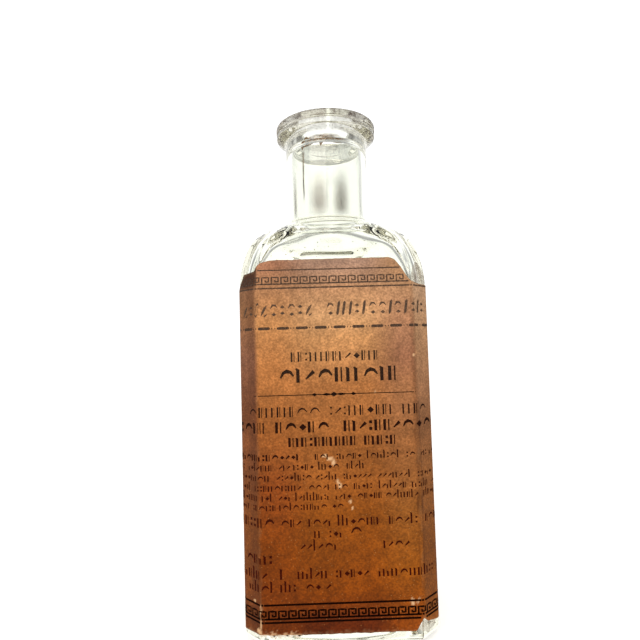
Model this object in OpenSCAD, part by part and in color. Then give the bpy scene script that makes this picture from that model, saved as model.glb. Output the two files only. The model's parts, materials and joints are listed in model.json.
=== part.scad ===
// Square medicine bottle: clear blown glass with bevelled corners, a flanged lip for a cork,
// and a paper label that wraps the front. The origin is at the centre of the base, +Z is up,
// and the label faces -Y. All lengths are in millimetres and all angles in degrees.

/* [Body] */
// Width across the flat sides
body_w = 43; // [38:0.5:54]
// Width of each corner bevel, measured along the side
bevel = 3.9; // [2.5:0.1:6]
// Height at which the sides start to curve into the shoulder
side_h = 77.6; // [70:0.1:95]
// Rounding between the sides and the base
foot_r = 2; // [1:0.1:3]
// Thickness of the side walls
wall = 2.6; // [1.8:0.1:3.4]
// Thickness of the base
base_t = 6; // [4:0.5:9]
// Rounding at the bottom of the inside
inner_foot_r = 5; // [3:0.5:8]
// Depth of the hollow under the base
kick_depth = 0.8; // [0.3:0.1:1.5]
// Diameter of the hollow under the base
kick_d = 30; // [20:1:33]

/* [Shoulder and neck] */
// Rise of the shoulder, from the sides to the neck
shoulder_h = 18; // [14:0.5:24]
// Thickness of the glass over the shoulder
shoulder_t = 3; // [2:0.1:4]
// Outside diameter of the neck
neck_d = 21.5; // [19:0.5:25]
// Radius of the blend where the neck leaves the shoulder
neck_blend = 3; // [1:0.1:3.5]
// Diameter of the bore inside the neck, below the cork seat
throat_d = 17.6; // [15:0.2:18]

/* [Lip] */
// Height of the whole bottle
bottle_h = 122.9; // [118:0.1:140]
// Diameter across the lip
lip_d = 26.2; // [25.8:0.2:32]
// Height of the upright band round the lip
rim_h = 3.5; // [2.5:0.1:5]
// Height of the taper from the band down to the neck
lip_taper_h = 1.5; // [0.8:0.1:3]
// Rounding of the band's two edges
rim_r = 0.7; // [0.3:0.1:1]
// Diameter of the seat that the cork presses into
seat_d = 13.8; // [13.4:0.2:16]
// Depth of the cork seat below the top of the lip
seat_depth = 5.4; // [4:0.2:8]
// Chamfer at the mouth
mouth_chamfer = 0.5; // [0.2:0.1:0.8]

/* [Label] */
// Thickness of the label paper
paper_t = 0.15; // [0.1:0.05:0.3]
// Thickness of the dried paste film
paste_t = 0.08; // [0.05:0.01:0.15]
// Height of the label's upper edge
label_top = 84; // [82:0.1:86]
// Height of the label's lower edge
label_foot = 2.7; // [2.5:0.1:6]
// How far the label runs back along each side, past the bevel
label_wrap = 7.5; // [4:0.5:14]
// Half the width of the label's upper edge, between its worn corners
label_top_half = 14; // [11:0.5:15]
// Height of the label on the bevels and the sides
label_side_h = 77.6; // [74:0.1:79]

/* [Remains of the cork] */
// Largest crumb of cork left in the throat
crumb_size = 3; // [2:0.1:3.5]
// Length of the dried run below the largest crumb
run_length = 14; // [8:0.5:16]
// Width of the dried run
run_w = 0.7; // [0.4:0.1:1.2]
// Thickness of the dried tincture on the glass
stain_t = 0.1; // [0.06:0.01:0.2]

/* [Hidden] */
$fn = 96;

half_w = body_w / 2;
flat_half = half_w - bevel;
bevel_reach = (body_w - bevel) / sqrt(2);   // from the axis to a bevel's face
inner_half = half_w - wall;
inner_bevel_reach = bevel_reach - wall;
shoulder_top = side_h + shoulder_h;
neck_r = neck_d / 2;
throat_r = throat_d / 2;
seat_r = seat_d / 2;
lip_r = lip_d / 2;
rim_z = bottle_h - rim_h;
taper_z = rim_z - lip_taper_h;
seat_z = bottle_h - seat_depth;
ledge_h = throat_r - seat_r;                // the bore closes in to the seat at 45 degrees
outside = 2 * body_w;                       // longer than anything that it cuts
arc_steps = 8;

clear_glass = [0.86, 0.9, 0.84, 0.4];
tan_paper = [0.68, 0.43, 0.2];
dry_paste = [0.72, 0.66, 0.52];
torn_fibre = [0.86, 0.82, 0.74];
old_cork = [0.5, 0.28, 0.14];
dry_tincture = [0.62, 0.42, 0.2];

// Points of an arc, from angle a to angle b round a centre
function arc(centre, r, a, b) =
    [for (i = [0:arc_steps]) let (t = a + (b - a) * i / arc_steps) centre + r * [cos(t), sin(t)]];

// One edge of a slab: up from a rounded foot, then along a quarter ellipse to the neck
function side_line(reach, top, base_z, foot, bend_z, rise) = concat(
    arc([reach - foot, base_z + foot], foot, -90, 0),
    [for (i = [0:2 * arc_steps]) let (t = 45 * i / arc_steps)
        [top + (reach - top) * cos(t), bend_z + rise * sin(t)]]
);

function mirrored(line) = [for (i = [len(line) - 1:-1:0]) [-line[i].x, line[i].y]];

module slab(line) {
    rotate([90, 0, 0])
        linear_extrude(outside, center = true)
            polygon(concat(line, mirrored(line)));
}

// The bottle's square form with bevelled corners, whose eight faces all curve in to the neck.
// The foot is rounder under the bevels, in proportion to how far out they are.
module bottle_form(side, diagonal, top, base_z, foot, rise) {
    intersection_for (face = [[0, side], [45, diagonal], [90, side], [135, diagonal]])
        rotate(face[0])
            slab(side_line(face[1], top, base_z, foot * face[1] / side, side_h, rise));
}

module outer_form(grow = 0) {
    bottle_form(half_w + grow, bevel_reach + grow, neck_r + grow, 0, foot_r, shoulder_h + grow);
}

// The inside closes in to an octagon that is a little smaller than the throat, which then cuts it clean
module inner_form() {
    bottle_form(inner_half, inner_bevel_reach, 0.9 * throat_r, base_t, inner_foot_r, shoulder_h - shoulder_t);
}

// The bore of the neck, up to the cork seat. The seat is cut on its own, from inside the cone's top.
module neck_bore() {
    rotate_extrude()
        polygon([
            [0, side_h], [throat_r, side_h], [throat_r, seat_z - ledge_h],
            [seat_r - 0.5, seat_z + 0.5], [0, seat_z + 0.5]
        ]);
}

// The neck with its blend into the shoulder, and the flanged lip, before the hole
module neck_and_lip() {
    shoulder_drop = shoulder_h * (1 - sqrt(1 - pow(neck_blend / (half_w - neck_r), 2)));
    blend_z = shoulder_top - 1.2 * shoulder_drop + neck_blend;
    rotate_extrude()
        polygon(concat(
            [[0, side_h]],
            [[neck_r + neck_blend, side_h + shoulder_h / 2]],
            arc([neck_r + neck_blend, blend_z], neck_blend, 270, 180),
            [[neck_r, taper_z]],
            arc([lip_r - rim_r, rim_z + rim_r], rim_r, -60, 0),
            arc([lip_r - rim_r, bottle_h - rim_r], rim_r, 0, 90),
            [[0, bottle_h]]
        ));
}

module glass_bottle() {
    color(clear_glass)
        difference() {
            union() {
                outer_form();
                neck_and_lip();
            }
            inner_form();
            neck_bore();
            translate([0, 0, seat_z - 0.3])
                cylinder(h = seat_depth + 1.3, r = seat_r);
            translate([0, 0, bottle_h - mouth_chamfer])
                cylinder(h = 2 * mouth_chamfer, r1 = seat_r, r2 = seat_r + 2 * mouth_chamfer);
            translate([0, 0, -1])
                cylinder(h = kick_depth + 1, d1 = kick_d + 2, d2 = kick_d - 6);
        }
}

// A skin that lies on the glass, cut to an outline drawn on the front
module skin_on_glass(thickness) {
    intersection() {
        difference() {
            outer_form(thickness);
            outer_form();
        }
        rotate([90, 0, 0]) linear_extrude(outside) children();
        translate([-outside / 2, -outside, 0])
            cube([outside, outside - flat_half + label_wrap, outside]);
    }
}

// Outline of the label: its upper corners are worn down to the height of the sides
module label_outline() {
    edge = half_w + 1;
    polygon([
        [-edge, label_foot + 0.2], [-9, label_foot + 0.3], [4, label_foot], [16, label_foot],
        [17.4, label_foot + 2.6], [19, label_foot + 1], [edge, label_foot + 0.8],
        [edge, label_side_h - 0.1], [17, label_side_h + 0.8], [16.2, label_side_h + 3.4],
        [label_top_half + 0.3, label_top - 0.7], [label_top_half - 0.7, label_top],
        [-label_top_half, label_top - 0.1], [-label_top_half - 1.6, label_top - 0.6],
        [-17, label_top - 2.1], [-18.6, label_top - 2.2], [-19.4, label_top - 3.8],
        [-edge, label_side_h]
    ]);
}

module label_paper() {
    color(tan_paper)
        skin_on_glass(paper_t) label_outline();
}

// Dried paste where the label's right-hand corners are gone
module label_paste() {
    color(dry_paste)
        skin_on_glass(paste_t)
            difference() {
                union() {
                    polygon([
                        [15.6, 81.8], [17.2, 78], [21.2, 77.2], [21, 80],
                        [20.4, 82.6], [18.4, 82.9], [16.6, 83.2]
                    ]);
                    polygon([[15.4, 2.2], [21.2, 2.3], [21.4, 4], [18, 6], [16.6, 5.6]]);
                }
                label_outline();
            }
}

// Torn flakes of the label's backing that stand out below its lower edge
module label_flakes() {
    flakes = [[-16.2, 1.4], [-14.3, 1.9], [-12, 1.3], [-10.3, 1.7]];   // place along the front, and width
    color(torn_fibre)
        skin_on_glass(paper_t)
            difference() {
                for (f = flakes)
                    translate([f[0], label_foot])
                        polygon([[-f[1] / 2, 1], [f[1] / 2, 1], [f[1] / 3, -0.6], [-f[1] / 4, -0.4]]);
                label_outline();
            }
}

// An uneven piece of cork under the ledge of the seat: angle a is counted from the front, to the right
module crumb(a, z, size, turn) {
    intersection() {
        rotate(a) translate([0, -(seat_r + throat_r) / 2, z])
            intersection() {
                rotate([0, turn, 0]) cube(size, center = true);
                rotate([turn, 0, 35]) cube([size.x, 1.4 * size.y, 0.9 * size.z], center = true);
            }
        neck_bore();
    }
}

module cork_crumbs() {
    s = crumb_size;
    color(old_cork) {
        crumb(-46, seat_z - 0.6 * s, [0.6 * s, 0.6 * s, 1.1 * s], 12);
        crumb(-31, seat_z - 0.5 * s, [0.6 * s, 0.6 * s, 0.5 * s], -25);
        crumb(-8, seat_z - 0.7 * s, [0.4 * s, 0.6 * s, 0.8 * s], 20);
        crumb(22, seat_z - 0.5 * s, [0.9 * s, 0.6 * s, 0.5 * s], -14);
        crumb(38, seat_z - 0.5 * s, [0.5 * s, 0.6 * s, 0.4 * s], 30);
    }
}

// A thin film on the throat's wall, from angle a over a sweep, between two heights
module stain(a, sweep, z0, z1) {
    rotate(a - 90)
        rotate_extrude(angle = sweep)
            translate([throat_r - stain_t, z0])
                square([stain_t, z1 - z0]);
}

// Dried tincture: a run below the largest crumb, and two streaks low in the neck
module tincture_residue() {
    run_sweep = 360 * run_w / (PI * throat_d);
    run_top = seat_z - ledge_h - 0.5;
    color(dry_tincture) {
        stain(-42, run_sweep, run_top - run_length, run_top);
        stain(-20, 13, shoulder_top + 3, shoulder_top + 14);
        stain(14, 13, shoulder_top + 3, shoulder_top + 14);
    }
}

glass_bottle();
label_paper();
label_paste();
label_flakes();
cork_crumbs();
tincture_residue();
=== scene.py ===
import json
import math
import random

import bmesh
import bpy
from mathutils import Matrix, Vector, noise


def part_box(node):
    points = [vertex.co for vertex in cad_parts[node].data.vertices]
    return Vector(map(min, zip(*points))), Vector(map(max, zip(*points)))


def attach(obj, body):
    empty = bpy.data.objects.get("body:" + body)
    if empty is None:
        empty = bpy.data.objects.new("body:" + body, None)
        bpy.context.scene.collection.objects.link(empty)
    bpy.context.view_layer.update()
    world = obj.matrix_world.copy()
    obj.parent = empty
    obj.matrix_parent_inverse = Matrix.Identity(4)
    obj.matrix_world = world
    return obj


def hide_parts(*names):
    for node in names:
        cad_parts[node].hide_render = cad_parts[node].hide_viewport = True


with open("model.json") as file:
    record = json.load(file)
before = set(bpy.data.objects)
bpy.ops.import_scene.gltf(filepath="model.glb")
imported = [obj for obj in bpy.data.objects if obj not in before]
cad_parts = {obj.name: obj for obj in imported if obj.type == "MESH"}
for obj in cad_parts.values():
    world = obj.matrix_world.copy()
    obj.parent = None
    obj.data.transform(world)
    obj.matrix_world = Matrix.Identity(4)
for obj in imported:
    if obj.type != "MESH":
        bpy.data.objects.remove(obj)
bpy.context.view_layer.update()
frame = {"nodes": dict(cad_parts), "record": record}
mm = 0.001
print("frame loaded:", len(frame["nodes"]), "pieces of CAD")

# Shared by every piece


# sRGB hex to the linear colour that the shader wants
def linearColour(hexText, alpha=1.0):
    values = [int(hexText[i:i + 2], 16) / 255 for i in (1, 3, 5)]
    linear = [v / 12.92 if v <= 0.04045 else ((v + 0.055) / 1.055) ** 2.4 for v in values]
    return (*linear, alpha)


def smoothStep(low, high, value):
    share = min(1.0, max(0.0, (value - low) / (high - low)))
    return share * share * (3 - 2 * share)


# the socket that a name or a number picks; a Mix node has three hidden ones of each name
def openSocket(sockets, name):
    if isinstance(name, int):
        return sockets[name]
    return next((s for s in sockets if s.name == name and s.enabled), None)


# one node with its settings and links: a link comes from a node's first open socket, or from the socket given
def addNode(owner, kind, settings=None, links=None):
    node = owner.node_tree.nodes.new(kind)
    for name, value in (settings or {}).items():
        socket = openSocket(node.inputs, name)
        if name == "stops":
            ramp = node.color_ramp
            while len(ramp.elements) < len(value):
                ramp.elements.new(0.5)
            for element, (place, shade) in zip(ramp.elements, value):
                element.position = place
                element.color = linearColour(shade) if isinstance(shade, str) else (shade, shade, shade, 1)
        elif socket is not None:
            socket.default_value = linearColour(value) if isinstance(value, str) else value
        else:
            setattr(node, name, value)
    for name, source in (links or {}).items():
        given = isinstance(source, bpy.types.NodeSocket)
        socket = source if given else next(s for s in source.outputs if s.enabled)
        owner.node_tree.links.new(socket, openSocket(node.inputs, name))
    return node


def newMaterial(name):
    material = bpy.data.materials.new(name)
    material.use_nodes = True
    material.node_tree.nodes.clear()
    return material


# a mesh object from points in millimetres, riding on the one body, with its slot and material
def newPiece(name, points, faces, material, smooth=True):
    mesh = bpy.data.meshes.new(name)
    mesh.from_pydata([Vector(p) * mm for p in points], [], faces)
    build = bmesh.new()
    build.from_mesh(mesh)
    bmesh.ops.recalc_face_normals(build, faces=build.faces)
    build.to_mesh(mesh)
    build.free()
    for face in mesh.polygons:
        face.use_smooth = smooth
    mesh.materials.append(material)
    piece = bpy.data.objects.new(name, mesh)
    bpy.context.scene.collection.objects.link(piece)
    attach(piece, "root")
    return piece


def wobble(x, y, z, size, seed=0.0):
    return noise.noise(Vector((x / size + seed, y / size - seed, z / size + 2 * seed)))


# The bottle's form

boxLow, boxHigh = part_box("glass_bottle")
seatMount = next(m for m in frame["record"]["mounts"] if m["name"] == "cork_seat")
form = {                     # millimetres
    "half": (boxHigh.x - boxLow.x) / 2 / mm,
    "height": boxHigh.z / mm,
    "bevel": 3.9,            # leg of each corner bevel
    "edge": 1.5,             # softness of the folds between the faces
    "foot": 2.0,             # rounding at the base
    "sideTop": 77.6,         # where the sides start to curve in
    "rise": 18.0,            # the shoulder's height
    "neck": 10.75,           # outside radius of the neck
    "neckFoot": 99.4,        # where the neck turns upright
    "taperFoot": 117.9,      # where the lip's underside starts
    "rimFoot": 119.4,        # lower edge of the lip's band
    "rimBreak": 120.7,       # the tooled line round the band
    "lip": 13.1,             # radius of the lip
    "seat": seatMount["dims"]["r_mm"],
    "seatFoot": 117.5,
    "throat": 8.8,           # the bore inside the neck, wider than the seat above it
    "wall": 2.6,
    "floor": 6.0,            # thickness of the base
    "innerRise": 15.0,
    "kick": 0.8,             # depth of the hollow under the base
}
form["diagonal"] = (2 * form["half"] - form["bevel"]) / math.sqrt(2)


# Lengths round one quarter of a bevelled square, from the middle of one side to the middle of the next
def quarterLengths(side, diagonal, rounding):
    tangent = rounding * math.tan(math.pi / 8)
    bevelLeg = 2 * side - math.sqrt(2) * diagonal
    flat = side - bevelLeg - tangent
    arc = rounding * math.pi / 4
    return flat, arc, math.sqrt(2) * bevelLeg - 2 * tangent, arc, flat


# A place on the bevelled square: the distance is measured from the middle of the front, + to the right
def sectionPoint(side, diagonal, rounding, distance):
    x, y, heading = 0.0, -side, 0.0
    left = abs(distance)
    lengths = quarterLengths(side, diagonal, rounding)
    for index, length in enumerate(lengths):
        last = index == len(lengths) - 1
        step = left if last else min(left, length)
        if index % 2:
            turn = step / rounding
            x += rounding * (math.sin(heading + turn) - math.sin(heading))
            y += rounding * (math.cos(heading) - math.cos(heading + turn))
            heading += turn
        else:
            x += step * math.cos(heading)
            y += step * math.sin(heading)
        left -= step
        if left <= 0:
            break
    sign = -1 if distance < 0 else 1
    return sign * x, y, sign * math.sin(heading), -math.cos(heading)


# Half width and bevel distance of the outside at a height up the body or the lower shoulder
def outsideAt(height):
    rise = min(0.999, max(0.0, (height - form["sideTop"]) / form["rise"]))
    share = math.sqrt(1 - rise * rise)
    side = form["neck"] + (form["half"] - form["neck"]) * share
    diagonal = form["neck"] + (form["diagonal"] - form["neck"]) * share
    return side, diagonal


# A point that lies on the outside of the glass, raised by a lift along the outward normal
def onGlass(distance, height, lift):
    side, diagonal = outsideAt(height)
    x, y, outX, outY = sectionPoint(side, diagonal, form["edge"], distance)
    return (x + outX * lift, y + outY * lift, height)


# Glass

glass = {
    "flatSteps": 16,         # faces along half a side
    "edgeSteps": 4,
    "bevelSteps": 6,
    "sideRings": 34,
    "outerRipple": 0.05,     # mm, how far the outside dips
    "innerRipple": 0.2,      # mm, how uneven the blown inside is
    "rippleSize": 19.0,      # mm
}


def quarterDistances(side, diagonal, rounding):
    counts = (
        glass["flatSteps"], glass["edgeSteps"], glass["bevelSteps"], glass["edgeSteps"], glass["flatSteps"],
    )
    distances, start = [], 0.0
    for length, count in zip(quarterLengths(side, diagonal, rounding), counts):
        distances += [start + length * i / count for i in range(count)]
        start += length
    return distances


# One ring of the glass: a bevelled square that may be blended to a circle
def ringPoints(ring):
    quarter = [
        sectionPoint(ring["side"], ring["diagonal"], ring["rounding"], d)[:2]
        for d in quarterDistances(ring["side"], ring["diagonal"], ring["rounding"])
    ]
    points = []
    for turn in range(4):
        cosine, sine = round(math.cos(turn * math.pi / 2)), round(math.sin(turn * math.pi / 2))
        for x, y in quarter:
            px, py = x * cosine - y * sine, x * sine + y * cosine
            reach = math.hypot(px, py)
            wanted = reach + (ring["radius"] - reach) * ring["round"]
            points.append((px * wanted / reach, py * wanted / reach, ring["z"]))
    return points


def squareRing(side, diagonal, z, rounding, circle=0.0, radius=1.0):
    return {
        "side": side, "diagonal": diagonal, "rounding": rounding, "z": z, "round": circle, "radius": radius,
    }


# the octagon under a round ring only sets where its points lie
def roundRing(radius, z):
    return squareRing(10.0, 10.0, z, 2.0, 1.0, radius)


def arcPoints(centreX, centreZ, radius, start, end, steps):
    angles = [math.radians(start + (end - start) * i / steps) for i in range(steps + 1)]
    return [(centreX + radius * math.cos(a), centreZ + radius * math.sin(a)) for a in angles]


def curvePoints(start, pull, push, end, steps):
    points = []
    for i in range(1, steps + 1):
        t = i / steps
        weights = ((1 - t) ** 3, 3 * t * (1 - t) ** 2, 3 * t * t * (1 - t), t ** 3)
        points.append(tuple(sum(w * p[k] for w, p in zip(weights, (start, pull, push, end))) for k in (0, 1)))
    return points


# The shoulder's rings, for the outside or the inside; they end a little outside the neck
def shoulderRings(side, diagonal, neck, rise, rounding, stop=78, steps=22):
    rings = []
    for i in range(steps + 1):
        angle = math.radians(stop * i / steps)
        ringSide = neck + (side - neck) * math.cos(angle)
        ringDiagonal = neck + (diagonal - neck) * math.cos(angle)
        circle = smoothStep(40, stop, math.degrees(angle))
        rings.append(squareRing(
            ringSide, ringDiagonal, form["sideTop"] + rise * math.sin(angle),
            rounding + (1 + 2 * circle) * circle, circle, ringSide + 0.35 * (ringDiagonal - ringSide),
        ))
    return rings


# the outside of the lip as (radius, height), from under the taper up to the rim
def lipProfile():
    lip, rimFoot, rimBreak, height = form["lip"], form["rimFoot"], form["rimBreak"], form["height"]
    taper = curvePoints(
        (form["neck"], form["taperFoot"] - 0.6), (form["neck"], form["taperFoot"] + 0.2),
        (lip - 1.6, rimFoot - 0.8), (lip - 0.6, rimFoot - 0.1), 6,
    )
    band = arcPoints(lip - 0.65, rimFoot + 0.5, 0.55, -50, 10, 4)
    band += [(lip - 0.14, rimBreak - 0.3), (lip - 0.26, rimBreak - 0.05), (lip - 0.1, rimBreak + 0.15)]
    band += [(lip, rimBreak + 0.5), (lip, height - 0.8)]
    return taper + band + arcPoints(lip - 0.7, height - 0.7, 0.7, 15, 90, 5)


def outerRings():
    half, diagonal, foot = form["half"], form["diagonal"], form["foot"]
    rings = [roundRing(r, form["kick"] * (1 - (r / 13.8) ** 4)) for r in (2, 5, 8, 10.5, 12.5, 13.8)]
    rings.append(squareRing(16.4, 20.6, 0.0, 4.0, 0.45, 17.0))
    for inset, z in arcPoints(-foot, foot, foot, -90, 0, 7):
        rings.append(squareRing(half + inset, diagonal + inset, z, form["edge"]))
    for i in range(1, glass["sideRings"]):
        z = foot + (form["sideTop"] - foot) * i / glass["sideRings"]
        rings.append(squareRing(half, diagonal, z, form["edge"]))
    shoulder = shoulderRings(half, diagonal, form["neck"], form["rise"], form["edge"])
    top = shoulder[-1]
    neckFoot = curvePoints(
        (top["radius"], top["z"]), (top["radius"] - 1.6, top["z"] + 0.5),
        (form["neck"], form["neckFoot"] - 2.4), (form["neck"], form["neckFoot"]), 8,
    )
    neckRise = form["taperFoot"] - 0.6 - form["neckFoot"]
    upright = [(form["neck"], form["neckFoot"] + neckRise * i / 12) for i in range(1, 12)]
    return rings + shoulder + [roundRing(r, z) for r, z in neckFoot + upright + lipProfile()]


def innerRings():
    seat, throat, height, seatFoot = form["seat"], form["throat"], form["height"], form["seatFoot"]
    side, diagonal = form["half"] - form["wall"], form["diagonal"] - form["wall"]
    mouth = [(11.0, height), (9.4, height), (8.2, height)]
    mouth += arcPoints(seat + 0.8, height - 0.8, 0.8, 90, 180, 6)
    ledgeFoot = seatFoot - (throat - seat)
    mouth += [
        (seat, height - 2.4), (seat, height - 3.8), (seat, seatFoot + 0.3), (seat + 0.12, seatFoot - 0.2),
    ]
    mouth += [
        (seat + 0.9, seatFoot - 0.95), (throat - 0.25, ledgeFoot + 0.3), (throat - 0.04, ledgeFoot - 0.1),
    ]
    shoulder = shoulderRings(side, diagonal, 0.9 * throat, form["innerRise"], 4.0, 66, 16)[::-1]
    top = shoulder[0]
    bore = [(throat, ledgeFoot - 0.7 - (ledgeFoot - 99.5) * i / 12) for i in range(13)]
    flare = curvePoints(
        bore[-1], (throat, 95.4), (top["radius"] - 1.8, top["z"] + 1.2), (top["radius"], top["z"]), 9,
    )[:-1]
    rings = [roundRing(r, z) for r, z in mouth + bore + flare] + shoulder
    floor, corner = form["floor"], 5.0
    for i in range(1, glass["sideRings"]):
        z = form["sideTop"] - (form["sideTop"] - floor - corner) * i / glass["sideRings"]
        rings.append(squareRing(side, diagonal, z, 4.0))
    for inset, z in arcPoints(-corner, floor + corner, corner, 0, -90, 8):
        rings.append(squareRing(side + inset, diagonal + inset, z, 4.0, 0.0))
    rings += [roundRing(r, floor + 0.5 * (1 - (r / 12.5) ** 2)) for r in (11.5, 8, 4.5, 2)]
    return rings


def closedSkin(rings, firstCentre, lastCentre):
    loops = [ringPoints(r) for r in rings]
    count = len(loops[0])
    points = [p for loop in loops for p in loop] + [firstCentre, lastCentre]
    faces = [
        (k * count + i, k * count + (i + 1) % count, (k + 1) * count + (i + 1) % count, (k + 1) * count + i)
        for k in range(len(loops) - 1) for i in range(count)
    ]
    first, last = len(points) - 2, len(points) - 1
    base = (len(loops) - 1) * count
    faces += [(first, (i + 1) % count, i) for i in range(count)]
    faces += [(last, base + i, base + (i + 1) % count) for i in range(count)]
    return points, faces


def blownGlass(points, outerCount):
    made = []
    for index, (x, y, z) in enumerate(points):
        reach = math.hypot(x, y) or 1.0
        size = glass["rippleSize"]
        ripple = wobble(x, y, z, size, 3.1) + 0.5 * wobble(x, y, z, size / 2.4, 7.7)
        if index < outerCount:
            grip = smoothStep(1.5, 6, z) * (1 - 0.7 * smoothStep(116, 118, z))
            push = -glass["outerRipple"] * (0.5 + 0.5 * ripple) * grip
        else:
            grip = 0.25 + 0.75 * (1 - smoothStep(88, 98, z))
            push = glass["innerRipple"] * ripple * grip if z < 113.5 else 0.0
        made.append((x + x / reach * push, y + y / reach * push, z))
    return made


# Clear soda-lime glass, blown in a mould: hard bright reflections, and walls that bend what is behind them.
# The body tint is a trace of iron, seen only where the light runs a long way through the glass.
def blownSodaGlass():
    material = newMaterial("SodaLimeGlassMouldBlown")
    place = addNode(material, "ShaderNodeTexCoord")
    cord = addNode(
        material, "ShaderNodeTexNoise", {"Scale": 1 / (9 * mm), "Detail": 1.0},
        {"Vector": place.outputs["Object"]},
    )
    bump = addNode(
        material, "ShaderNodeBump", {"Strength": 0.06, "Distance": 0.4 * mm},
        {"Height": cord.outputs["Fac"]},
    )
    shader = addNode(material, "ShaderNodeBsdfPrincipled", {
        "Base Color": "#fbfdf6", "Roughness": 0.012, "IOR": 1.5, "Transmission Weight": 1.0,
    }, {"Normal": bump.outputs["Normal"]})
    tint = addNode(material, "ShaderNodeVolumeAbsorption", {"Color": "#ebe8cc", "Density": 8.0})
    addNode(material, "ShaderNodeOutputMaterial", {}, {
        "Surface": shader.outputs["BSDF"], "Volume": tint.outputs["Volume"],
    })
    return material


def makeGlass():
    outer, inner = outerRings(), innerRings()
    count = 4 * (2 * glass["flatSteps"] + 2 * glass["edgeSteps"] + glass["bevelSteps"])
    centres = ((0, 0, form["kick"]), (0, 0, form["floor"] + 0.5))
    points, faces = closedSkin(outer + inner, *centres)
    points = blownGlass(points[:-2], len(outer) * count) + list(centres)
    piece = newPiece("glassBottle", points, faces, blownSodaGlass())
    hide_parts("glass_bottle")
    return piece


glassBottle = makeGlass()
print("glass blown:", len(glassBottle.data.vertices), "points")

# Patches that lie on the glass


# the value on a line of corners at a distance
def onLine(corners, distance):
    for (startX, startZ), (endX, endZ) in zip(corners, corners[1:]):
        if distance <= endX:
            return startZ + (endZ - startZ) * max(0.0, distance - startX) / (endX - startX)
    return corners[-1][1]


# small and smaller tears along an edge, mm
def tear(distance, amount, seed):
    return amount * (wobble(distance, 0, 0, 1.3, seed) + 0.6 * wobble(distance, 0, 0, 0.45, seed + 4))


# A closed sheet between a bottom line and a top line, bent round the glass.
# Each point keeps its place in the sheet's map, in tenths of a metre.
def newPatch(name, sheet, material):
    left, right = sheet["span"]
    columns = max(2, math.ceil((right - left) / sheet["cell"]))
    distances = [left + (right - left) * i / columns for i in range(columns + 1)]
    lows = [onLine(sheet["bottom"], d) + tear(d, sheet["tear"], 1.7) for d in distances]
    highs = [
        max(l + 0.05, onLine(sheet["top"], d) + tear(d, sheet["tear"], 9.2))
        for d, l in zip(distances, lows)
    ]
    rows = max(2, math.ceil((max(highs) - min(lows)) / sheet["cell"]))
    places = []
    for row in range(rows + 1):
        for distance, low, high in zip(distances, lows, highs):
            z = low + (high - low) * row / rows
            edge = smoothStep(0.93, 1.0, abs(2 * (distance - left) / (right - left) - 1))
            places.append((distance + edge * tear(z, sheet["tear"], 5.5), z))
    points = [onGlass(d, z, sheet["outer"]) for d, z in places]
    points += [onGlass(d, z, sheet["inner"]) for d, z in places]
    width, size = columns + 1, len(places)
    faces = []
    for row in range(rows):
        for column in range(columns):
            a = row * width + column
            faces.append((a, a + 1, a + width + 1, a + width))
            faces.append((size + a, size + a + width, size + a + width + 1, size + a + 1))
    rim = list(range(columns)) + [row * width + columns for row in range(rows)]
    rim += [rows * width + c for c in range(columns, 0, -1)] + [row * width for row in range(rows, 0, -1)]
    faces += [(a, size + a, size + b, b) for a, b in zip(rim, rim[1:] + rim[:1])]
    piece = newPiece(name, points, faces, material)
    sheetMap = piece.data.uv_layers.new(name="sheetMap")
    for loop in piece.data.loops:
        distance, z = places[loop.vertex_index % size]
        sheetMap.data[loop.index].uv = (0.5 + distance / 100, z / 100)
    return piece, places


def addAttribute(piece, name, values):
    layer = piece.data.attributes.new(name, "FLOAT", "POINT")
    layer.data.foreach_set("value", values)


# Label paper

label = {                    # millimetres: distance round the glass from the middle of the front, and height
    "span": (-30.6, 30.6),
    "cell": 0.34,
    "inner": 0.02,
    "outer": 0.11,
    "tear": 0.1,
    "top": [
        (-30.6, 77.2), (-23.2, 77.6), (-22.0, 79.8), (-21.3, 81.2), (-17.7, 81.6), (-17.2, 82.7),
        (-16.3, 83.5), (-14, 84.0), (12.8, 84.1), (13.9, 83.5), (15.3, 81.7), (16.6, 79.5), (17.5, 78.4),
        (20, 78.0), (30.6, 77.4),
    ],
    "bottom": [
        (-30.6, 2.8), (-21.8, 2.75), (-17, 2.9), (-9, 2.75), (4, 2.7), (15.8, 2.7), (17.4, 5.3),
        (18.7, 4.4), (22, 3.6), (30.6, 3.4),
    ],
    "fold": 17.6,            # where the front turns into the bevel
    # places where the printed face is torn off: middle, half width, half height
    "chips": [
        (-3.0, 40.4, 0.5, 0.35), (-1.9, 39.7, 1.0, 0.4), (-1.0, 39.2, 0.5, 0.7), (-0.3, 34.9, 0.3, 0.7),
        (0.1, 33.8, 0.25, 0.5), (2.3, 30.4, 0.25, 0.5), (2.7, 29.0, 0.25, 0.6), (8.1, 28.7, 0.9, 0.1),
        (15.0, 9.2, 0.4, 0.5), (15.3, 8.3, 0.3, 0.5), (16.3, 9.1, 0.4, 0.35), (-19.3, 9.6, 0.4, 0.25),
        (8.3, 54.1, 0.2, 0.2), (17.3, 62.0, 0.15, 0.3), (-18.2, 3.6, 0.5, 0.7),
    ],
}


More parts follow.
